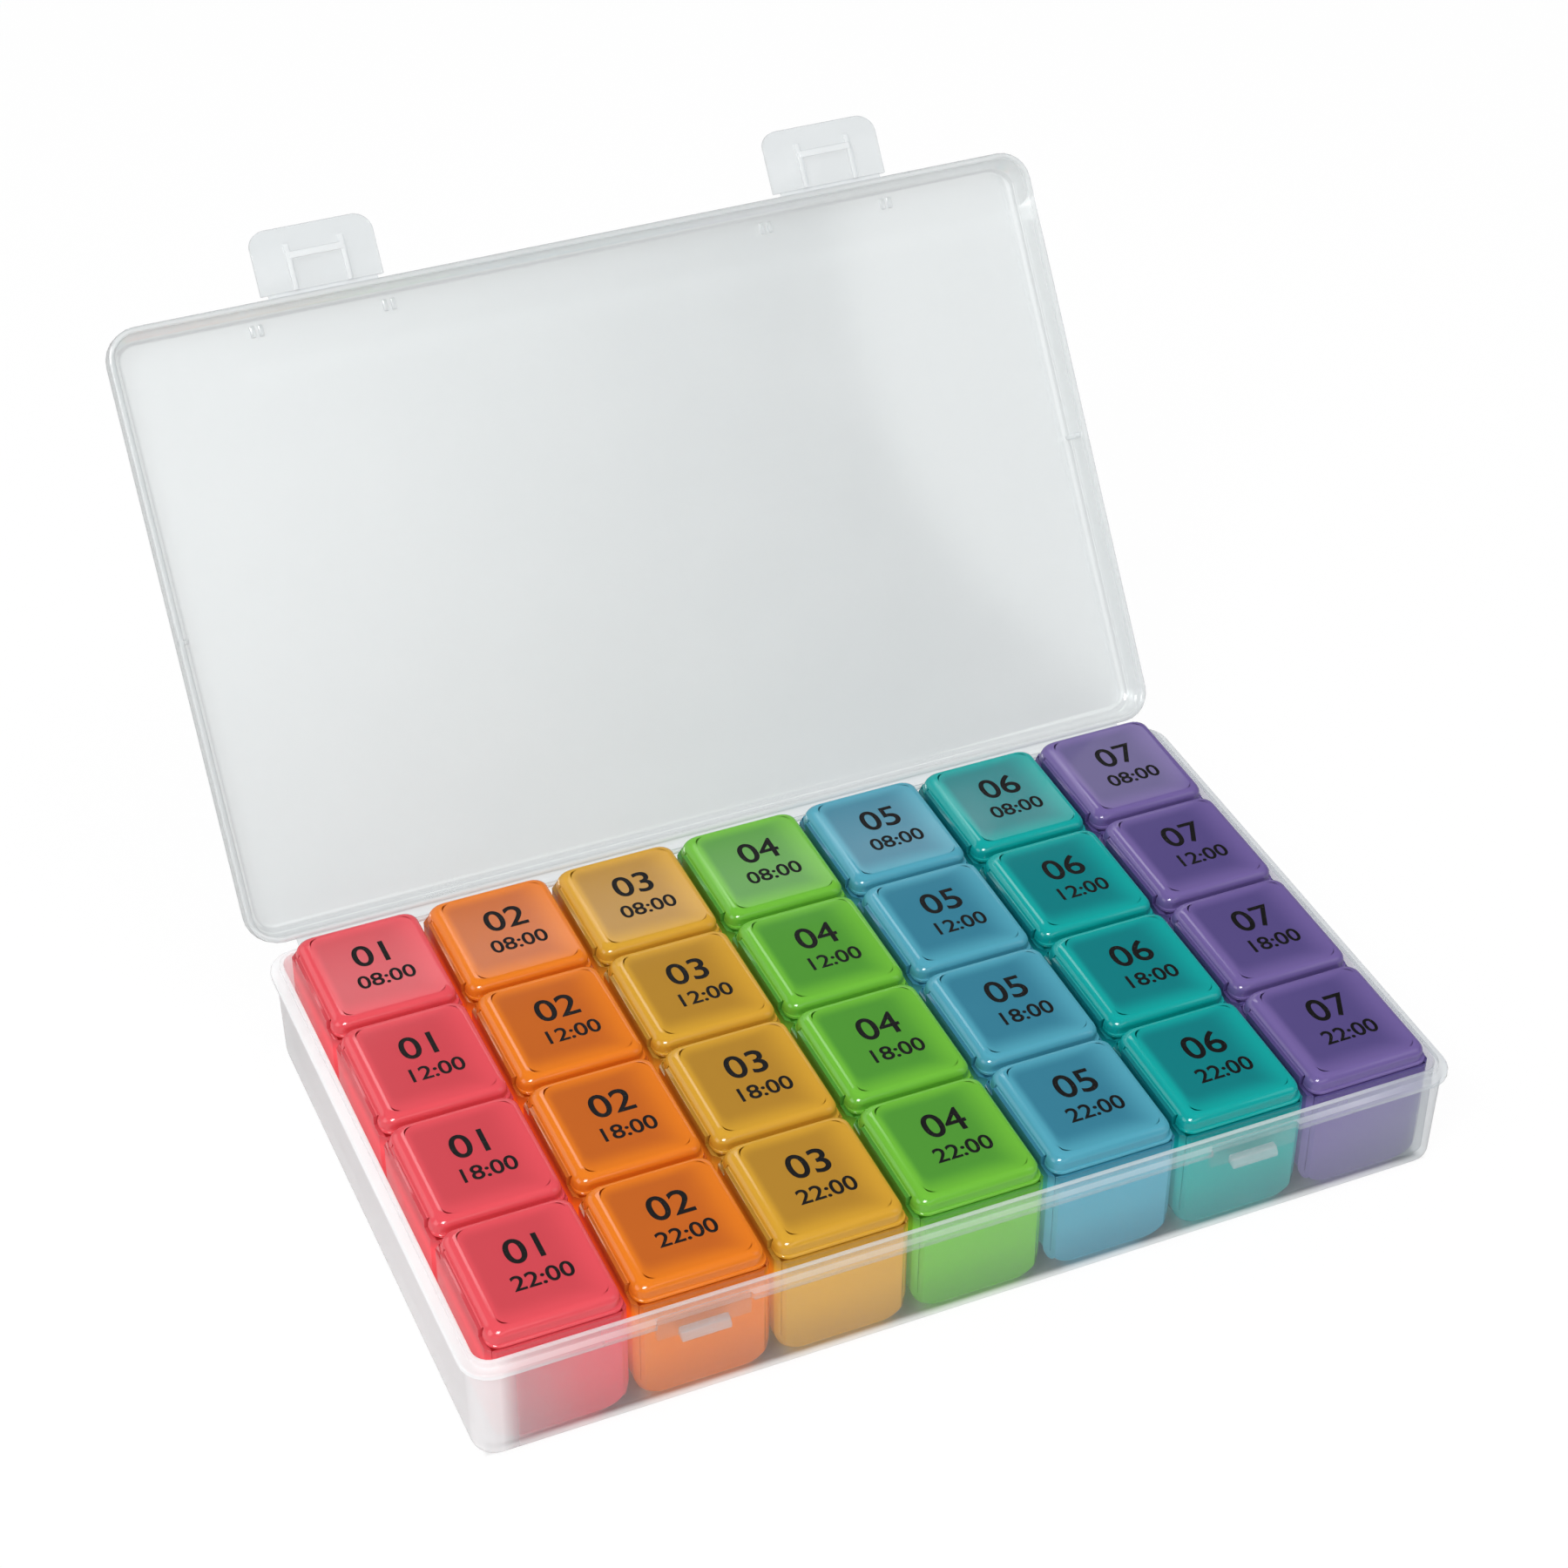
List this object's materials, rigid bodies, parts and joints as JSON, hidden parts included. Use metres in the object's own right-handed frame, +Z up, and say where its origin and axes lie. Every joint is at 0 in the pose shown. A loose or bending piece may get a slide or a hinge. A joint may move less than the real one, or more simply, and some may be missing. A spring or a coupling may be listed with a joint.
{
  "type": "pill organizer case",
  "caption": "Open rectangular medicine box: a frosted tray with a hinged, latched lid, holding rainbow lift-out strips whose compartments each have a hinged cap",
  "frame": {"origin": "the middle of the tray's flat underside", "axes": "+X along the case to the right as seen from its latch side, +Y from the latch side to the lid hinge, +Z up"},
  "size_m": [0.2214, 0.2291, 0.1484],
  "materials": {
    "frosted": "frosted translucent polypropylene",
    "red_plastic": "satin translucent red polypropylene",
    "orange_plastic": "satin translucent orange polypropylene",
    "yellow_plastic": "satin translucent yellow polypropylene",
    "green_plastic": "satin translucent green polypropylene",
    "blue_plastic": "satin translucent blue polypropylene",
    "teal_plastic": "satin translucent teal polypropylene",
    "purple_plastic": "satin translucent purple polypropylene"
  },
  "bodies": {
    "tray": {"tray": "frosted"},
    "case_lid": {"case_lid": "frosted", "lid_hinge_web": "frosted", "left_latch_web": "frosted", "right_latch_web": "frosted"},
    "left_latch": {"left_latch": "frosted"},
    "right_latch": {"right_latch": "frosted"},
    "red_strip": {"red_strip": "red_plastic", "red_cap_hinges": "red_plastic"},
    "red_cap_1": {"red_cap_1": "red_plastic"},
    "red_cap_2": {"red_cap_2": "red_plastic"},
    "red_cap_3": {"red_cap_3": "red_plastic"},
    "red_cap_4": {"red_cap_4": "red_plastic"},
    "orange_strip": {"orange_strip": "orange_plastic", "orange_cap_hinges": "orange_plastic"},
    "orange_cap_1": {"orange_cap_1": "orange_plastic"},
    "orange_cap_2": {"orange_cap_2": "orange_plastic"},
    "orange_cap_3": {"orange_cap_3": "orange_plastic"},
    "orange_cap_4": {"orange_cap_4": "orange_plastic"},
    "yellow_strip": {"yellow_strip": "yellow_plastic", "yellow_cap_hinges": "yellow_plastic"},
    "yellow_cap_1": {"yellow_cap_1": "yellow_plastic"},
    "yellow_cap_2": {"yellow_cap_2": "yellow_plastic"},
    "yellow_cap_3": {"yellow_cap_3": "yellow_plastic"},
    "yellow_cap_4": {"yellow_cap_4": "yellow_plastic"},
    "green_strip": {"green_strip": "green_plastic", "green_cap_hinges": "green_plastic"},
    "green_cap_1": {"green_cap_1": "green_plastic"},
    "green_cap_2": {"green_cap_2": "green_plastic"},
    "green_cap_3": {"green_cap_3": "green_plastic"},
    "green_cap_4": {"green_cap_4": "green_plastic"},
    "blue_strip": {"blue_strip": "blue_plastic", "blue_cap_hinges": "blue_plastic"},
    "blue_cap_1": {"blue_cap_1": "blue_plastic"},
    "blue_cap_2": {"blue_cap_2": "blue_plastic"},
    "blue_cap_3": {"blue_cap_3": "blue_plastic"},
    "blue_cap_4": {"blue_cap_4": "blue_plastic"},
    "teal_strip": {"teal_strip": "teal_plastic", "teal_cap_hinges": "teal_plastic"},
    "teal_cap_1": {"teal_cap_1": "teal_plastic"},
    "teal_cap_2": {"teal_cap_2": "teal_plastic"},
    "teal_cap_3": {"teal_cap_3": "teal_plastic"},
    "teal_cap_4": {"teal_cap_4": "teal_plastic"},
    "purple_strip": {"purple_strip": "purple_plastic", "purple_cap_hinges": "purple_plastic"},
    "purple_cap_1": {"purple_cap_1": "purple_plastic"},
    "purple_cap_2": {"purple_cap_2": "purple_plastic"},
    "purple_cap_3": {"purple_cap_3": "purple_plastic"},
    "purple_cap_4": {"purple_cap_4": "purple_plastic"}
  },
  "joints": [
    {"name": "lid_hinge", "type": "hinge", "parent": "tray", "child": "case_lid", "pos_m": [0, 0.06932, 0.025], "axis": [-1, 0, 0], "range_deg": [-125.7, 0], "deforming": ["lid_hinge_web"]},
    {"name": "left_latch_hinge", "type": "hinge", "parent": "case_lid", "child": "left_latch", "pos_m": [-0.061, 0.15046, 0.13706], "axis": [-1, 0, 0], "range_deg": [-90, 0], "deforming": ["left_latch_web"]},
    {"name": "right_latch_hinge", "type": "hinge", "parent": "case_lid", "child": "right_latch", "pos_m": [0.061, 0.15046, 0.13706], "axis": [-1, 0, 0], "range_deg": [-90, 0], "deforming": ["right_latch_web"]},
    {"name": "red_strip_lift", "type": "slide", "parent": "tray", "child": "red_strip", "axis": [0, 0, 1], "range_m": [0, 0.045]},
    {"name": "red_cap_1_hinge", "type": "hinge", "parent": "red_strip", "child": "red_cap_1", "pos_m": [-0.10345, 0.048, 0.02975], "axis": [0, -1, 0], "range_deg": [0, 105], "deforming": ["red_cap_hinges"]},
    {"name": "red_cap_2_hinge", "type": "hinge", "parent": "red_strip", "child": "red_cap_2", "pos_m": [-0.10345, 0.016, 0.02975], "axis": [0, -1, 0], "range_deg": [0, 105], "deforming": ["red_cap_hinges"]},
    {"name": "red_cap_3_hinge", "type": "hinge", "parent": "red_strip", "child": "red_cap_3", "pos_m": [-0.10345, -0.016, 0.02975], "axis": [0, -1, 0], "range_deg": [0, 105], "deforming": ["red_cap_hinges"]},
    {"name": "red_cap_4_hinge", "type": "hinge", "parent": "red_strip", "child": "red_cap_4", "pos_m": [-0.10345, -0.048, 0.02975], "axis": [0, -1, 0], "range_deg": [0, 105], "deforming": ["red_cap_hinges"]},
    {"name": "orange_strip_lift", "type": "slide", "parent": "tray", "child": "orange_strip", "axis": [0, 0, 1], "range_m": [0, 0.045]},
    {"name": "orange_cap_1_hinge", "type": "hinge", "parent": "orange_strip", "child": "orange_cap_1", "pos_m": [-0.07345, 0.048, 0.02975], "axis": [0, -1, 0], "range_deg": [0, 105], "deforming": ["orange_cap_hinges"]},
    {"name": "orange_cap_2_hinge", "type": "hinge", "parent": "orange_strip", "child": "orange_cap_2", "pos_m": [-0.07345, 0.016, 0.02975], "axis": [0, -1, 0], "range_deg": [0, 105], "deforming": ["orange_cap_hinges"]},
    {"name": "orange_cap_3_hinge", "type": "hinge", "parent": "orange_strip", "child": "orange_cap_3", "pos_m": [-0.07345, -0.016, 0.02975], "axis": [0, -1, 0], "range_deg": [0, 105], "deforming": ["orange_cap_hinges"]},
    {"name": "orange_cap_4_hinge", "type": "hinge", "parent": "orange_strip", "child": "orange_cap_4", "pos_m": [-0.07345, -0.048, 0.02975], "axis": [0, -1, 0], "range_deg": [0, 105], "deforming": ["orange_cap_hinges"]},
    {"name": "yellow_strip_lift", "type": "slide", "parent": "tray", "child": "yellow_strip", "axis": [0, 0, 1], "range_m": [0, 0.045]},
    {"name": "yellow_cap_1_hinge", "type": "hinge", "parent": "yellow_strip", "child": "yellow_cap_1", "pos_m": [-0.04345, 0.048, 0.02975], "axis": [0, -1, 0], "range_deg": [0, 105], "deforming": ["yellow_cap_hinges"]},
    {"name": "yellow_cap_2_hinge", "type": "hinge", "parent": "yellow_strip", "child": "yellow_cap_2", "pos_m": [-0.04345, 0.016, 0.02975], "axis": [0, -1, 0], "range_deg": [0, 105], "deforming": ["yellow_cap_hinges"]},
    {"name": "yellow_cap_3_hinge", "type": "hinge", "parent": "yellow_strip", "child": "yellow_cap_3", "pos_m": [-0.04345, -0.016, 0.02975], "axis": [0, -1, 0], "range_deg": [0, 105], "deforming": ["yellow_cap_hinges"]},
    {"name": "yellow_cap_4_hinge", "type": "hinge", "parent": "yellow_strip", "child": "yellow_cap_4", "pos_m": [-0.04345, -0.048, 0.02975], "axis": [0, -1, 0], "range_deg": [0, 105], "deforming": ["yellow_cap_hinges"]},
    {"name": "green_strip_lift", "type": "slide", "parent": "tray", "child": "green_strip", "axis": [0, 0, 1], "range_m": [0, 0.045]},
    {"name": "green_cap_1_hinge", "type": "hinge", "parent": "green_strip", "child": "green_cap_1", "pos_m": [-0.01345, 0.048, 0.02975], "axis": [0, -1, 0], "range_deg": [0, 105], "deforming": ["green_cap_hinges"]},
    {"name": "green_cap_2_hinge", "type": "hinge", "parent": "green_strip", "child": "green_cap_2", "pos_m": [-0.01345, 0.016, 0.02975], "axis": [0, -1, 0], "range_deg": [0, 105], "deforming": ["green_cap_hinges"]},
    {"name": "green_cap_3_hinge", "type": "hinge", "parent": "green_strip", "child": "green_cap_3", "pos_m": [-0.01345, -0.016, 0.02975], "axis": [0, -1, 0], "range_deg": [0, 105], "deforming": ["green_cap_hinges"]},
    {"name": "green_cap_4_hinge", "type": "hinge", "parent": "green_strip", "child": "green_cap_4", "pos_m": [-0.01345, -0.048, 0.02975], "axis": [0, -1, 0], "range_deg": [0, 105], "deforming": ["green_cap_hinges"]},
    {"name": "blue_strip_lift", "type": "slide", "parent": "tray", "child": "blue_strip", "axis": [0, 0, 1], "range_m": [0, 0.045]},
    {"name": "blue_cap_1_hinge", "type": "hinge", "parent": "blue_strip", "child": "blue_cap_1", "pos_m": [0.01655, 0.048, 0.02975], "axis": [0, -1, 0], "range_deg": [0, 105], "deforming": ["blue_cap_hinges"]},
    {"name": "blue_cap_2_hinge", "type": "hinge", "parent": "blue_strip", "child": "blue_cap_2", "pos_m": [0.01655, 0.016, 0.02975], "axis": [0, -1, 0], "range_deg": [0, 105], "deforming": ["blue_cap_hinges"]},
    {"name": "blue_cap_3_hinge", "type": "hinge", "parent": "blue_strip", "child": "blue_cap_3", "pos_m": [0.01655, -0.016, 0.02975], "axis": [0, -1, 0], "range_deg": [0, 105], "deforming": ["blue_cap_hinges"]},
    {"name": "blue_cap_4_hinge", "type": "hinge", "parent": "blue_strip", "child": "blue_cap_4", "pos_m": [0.01655, -0.048, 0.02975], "axis": [0, -1, 0], "range_deg": [0, 105], "deforming": ["blue_cap_hinges"]},
    {"name": "teal_strip_lift", "type": "slide", "parent": "tray", "child": "teal_strip", "axis": [0, 0, 1], "range_m": [0, 0.045]},
    {"name": "teal_cap_1_hinge", "type": "hinge", "parent": "teal_strip", "child": "teal_cap_1", "pos_m": [0.04655, 0.048, 0.02975], "axis": [0, -1, 0], "range_deg": [0, 105], "deforming": ["teal_cap_hinges"]},
    {"name": "teal_cap_2_hinge", "type": "hinge", "parent": "teal_strip", "child": "teal_cap_2", "pos_m": [0.04655, 0.016, 0.02975], "axis": [0, -1, 0], "range_deg": [0, 105], "deforming": ["teal_cap_hinges"]},
    {"name": "teal_cap_3_hinge", "type": "hinge", "parent": "teal_strip", "child": "teal_cap_3", "pos_m": [0.04655, -0.016, 0.02975], "axis": [0, -1, 0], "range_deg": [0, 105], "deforming": ["teal_cap_hinges"]},
    {"name": "teal_cap_4_hinge", "type": "hinge", "parent": "teal_strip", "child": "teal_cap_4", "pos_m": [0.04655, -0.048, 0.02975], "axis": [0, -1, 0], "range_deg": [0, 105], "deforming": ["teal_cap_hinges"]},
    {"name": "purple_strip_lift", "type": "slide", "parent": "tray", "child": "purple_strip", "axis": [0, 0, 1], "range_m": [0, 0.045]},
    {"name": "purple_cap_1_hinge", "type": "hinge", "parent": "purple_strip", "child": "purple_cap_1", "pos_m": [0.07655, 0.048, 0.02975], "axis": [0, -1, 0], "range_deg": [0, 105], "deforming": ["purple_cap_hinges"]},
    {"name": "purple_cap_2_hinge", "type": "hinge", "parent": "purple_strip", "child": "purple_cap_2", "pos_m": [0.07655, 0.016, 0.02975], "axis": [0, -1, 0], "range_deg": [0, 105], "deforming": ["purple_cap_hinges"]},
    {"name": "purple_cap_3_hinge", "type": "hinge", "parent": "purple_strip", "child": "purple_cap_3", "pos_m": [0.07655, -0.016, 0.02975], "axis": [0, -1, 0], "range_deg": [0, 105], "deforming": ["purple_cap_hinges"]},
    {"name": "purple_cap_4_hinge", "type": "hinge", "parent": "purple_strip", "child": "purple_cap_4", "pos_m": [0.07655, -0.048, 0.02975], "axis": [0, -1, 0], "range_deg": [0, 105], "deforming": ["purple_cap_hinges"]}
  ]
}
